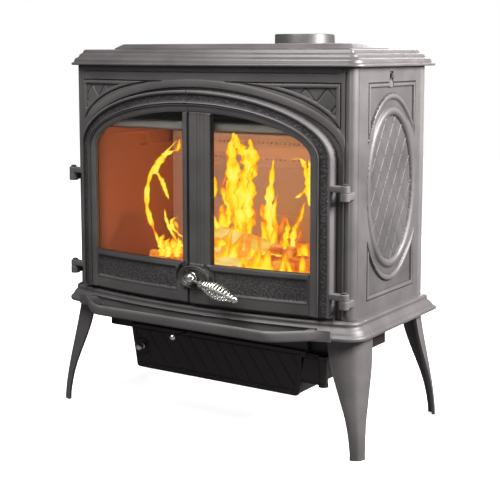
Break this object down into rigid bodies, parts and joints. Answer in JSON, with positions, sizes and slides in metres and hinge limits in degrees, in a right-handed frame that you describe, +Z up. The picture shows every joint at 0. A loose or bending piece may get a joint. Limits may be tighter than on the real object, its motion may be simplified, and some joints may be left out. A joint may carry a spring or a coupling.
{
  "type": "wood stove",
  "caption": "Cast-iron wood stove on curved legs: bowed front with a pair of arched glass doors, coil handle, ash lip, ash box below, and a rear flue collar.",
  "frame": {"origin": "on the floor under the middle of the whole stove, seen from above", "axes": "+Z up, the doors face -Y, +X to the right as seen from the front"},
  "size_m": [0.814, 0.627, 0.876],
  "materials": {
    "enamelled_iron": "dark grey, satin",
    "bare_iron": "heat-dulled",
    "black_steel": "matt black",
    "steel": "dull",
    "nickel": "polished",
    "ceramic_glass": "clear, faintly amber",
    "seal_rope": "woven",
    "firebrick": "matt"
  },
  "bodies": {
    "stove_body": {"air_manifold": "bare_iron", "air_wash_bar": "bare_iron", "ash_box": "black_steel", "ash_door_pin": "steel", "ash_lip": "enamelled_iron", "ash_pan": "black_steel", "back_panel": "enamelled_iron", "baffle": "bare_iron", "base_back": "enamelled_iron", "base_front": "enamelled_iron", "base_side_left": "enamelled_iron", "base_side_right": "enamelled_iron", "bottom_plate": "enamelled_iron", "flue_outlet": "enamelled_iron", "front_frame": "enamelled_iron", "grate": "bare_iron", "heat_shield": "black_steel", "hinge_pin_left_lower": "steel", "hinge_pin_left_upper": "steel", "hinge_pin_right_lower": "steel", "hinge_pin_right_upper": "steel", "leg_bolt_front_left": "steel", "leg_bolt_front_right": "steel", "leg_bolt_rear_left": "steel", "leg_bolt_rear_right": "steel", "leg_front_left": "enamelled_iron", "leg_front_right": "enamelled_iron", "leg_rear_left": "enamelled_iron", "leg_rear_right": "enamelled_iron", "lining_back": "firebrick", "lining_left": "firebrick", "lining_right": "firebrick", "log_bar": "bare_iron", "side_panel_left": "enamelled_iron", "side_panel_right": "enamelled_iron", "top_griddle": "enamelled_iron", "top_plate": "enamelled_iron"},
    "right_door": {"right_door": "enamelled_iron", "right_glass": "ceramic_glass", "right_glass_retainer": "black_steel", "right_door_rope": "seal_rope", "handle_plate_right": "enamelled_iron"},
    "left_door": {"left_door": "enamelled_iron", "left_glass": "ceramic_glass", "left_glass_retainer": "black_steel", "left_door_rope": "seal_rope", "handle_plate_left": "enamelled_iron"},
    "door_handle": {"handle_spindle": "nickel", "handle_rod": "nickel", "coil_handle": "nickel", "handle_end_knob": "nickel", "latch_cam": "steel"},
    "ash_door": {"ash_door": "black_steel"},
    "ash_knob": {"ash_door_knob": "nickel", "ash_door_tongue": "steel"},
    "air_lever": {"air_lever_rod": "nickel", "air_lever_ball": "nickel", "air_valve_plate": "black_steel"},
    "damper": {"damper_spindle": "nickel", "damper_flap": "black_steel"}
  },
  "joints": [
    {"name": "right_door_hinge", "type": "hinge", "parent": "stove_body", "child": "right_door", "pos_m": [0.362, -0.224, 0.348], "axis": [0, 0, 1], "range_deg": [0, 110]},
    {"name": "left_door_hinge", "type": "hinge", "parent": "stove_body", "child": "left_door", "pos_m": [-0.362, -0.224, 0.348], "axis": [0, 0, -1], "range_deg": [0, 110]},
    {"name": "door_handle_turn", "type": "hinge", "parent": "right_door", "child": "door_handle", "pos_m": [0.016, -0.27071, 0.348], "axis": [0, -1, 0], "range_deg": [0, 90]},
    {"name": "ash_door_hinge", "type": "hinge", "parent": "stove_body", "child": "ash_door", "pos_m": [0.283, -0.1668, 0.143], "axis": [0, 0, 1], "range_deg": [0, 100]},
    {"name": "ash_knob_turn", "type": "hinge", "parent": "ash_door", "child": "ash_knob", "pos_m": [-0.205, -0.1668, 0.143], "axis": [0, 1, 0], "range_deg": [0, 90]},
    {"name": "air_lever_slide", "type": "slide", "parent": "stove_body", "child": "air_lever", "axis": [0, 1, 0], "range_m": [0, 0.025]},
    {"name": "damper_turn", "type": "hinge", "parent": "stove_body", "child": "damper", "pos_m": [0, -0.038, 0.783], "axis": [1, 0, 0], "range_deg": [0, 80]}
  ]
}
